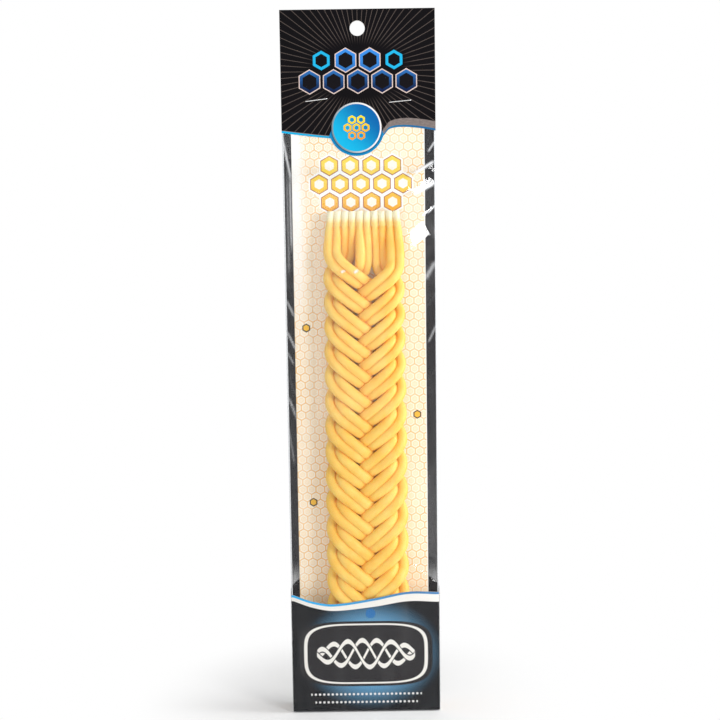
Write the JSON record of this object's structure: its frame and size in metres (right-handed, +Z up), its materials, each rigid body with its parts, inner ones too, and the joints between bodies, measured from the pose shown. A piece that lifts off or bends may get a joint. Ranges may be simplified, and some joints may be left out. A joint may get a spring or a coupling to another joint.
{
  "type": "braided candle in hanging pack",
  "caption": "Flat plaited beeswax candle with wicks, standing loose in a clear sleeve over a printed card with a pocket, under a folded header card with a hang hole.",
  "frame": {"origin": "centre of the hang hole at the rear face of the header card", "axes": "+Z up along the candle, +Y to the rear of the pack, so the front faces -Y"},
  "size_m": [0.092, 0.0193, 0.425],
  "materials": {
    "header_card": "matte print",
    "insert_card": "satin print",
    "film": "clear gloss",
    "steel_wire": "bright",
    "beeswax": "satin wax",
    "wick": "waxed cotton"
  },
  "bodies": {
    "pack": {"header_card": "header_card", "insert_card": "insert_card", "sleeve_front": "film", "sleeve_back": "film", "staple_left": "steel_wire", "staple_right": "steel_wire"},
    "candle": {"strand_01": "beeswax", "strand_02": "beeswax", "strand_03": "beeswax", "strand_04": "beeswax", "strand_05": "beeswax", "strand_06": "beeswax", "strand_07": "beeswax", "strand_08": "beeswax", "strand_09": "beeswax", "strand_10": "beeswax", "wick_01": "wick", "wick_02": "wick", "wick_03": "wick", "wick_04": "wick", "wick_05": "wick", "wick_06": "wick", "wick_07": "wick", "wick_08": "wick", "wick_09": "wick", "wick_10": "wick"}
  },
  "joints": [
    {"name": "candle_slide", "type": "slide", "parent": "pack", "child": "candle", "axis": [0, 0, 1], "range_m": [0, 0.012]}
  ]
}
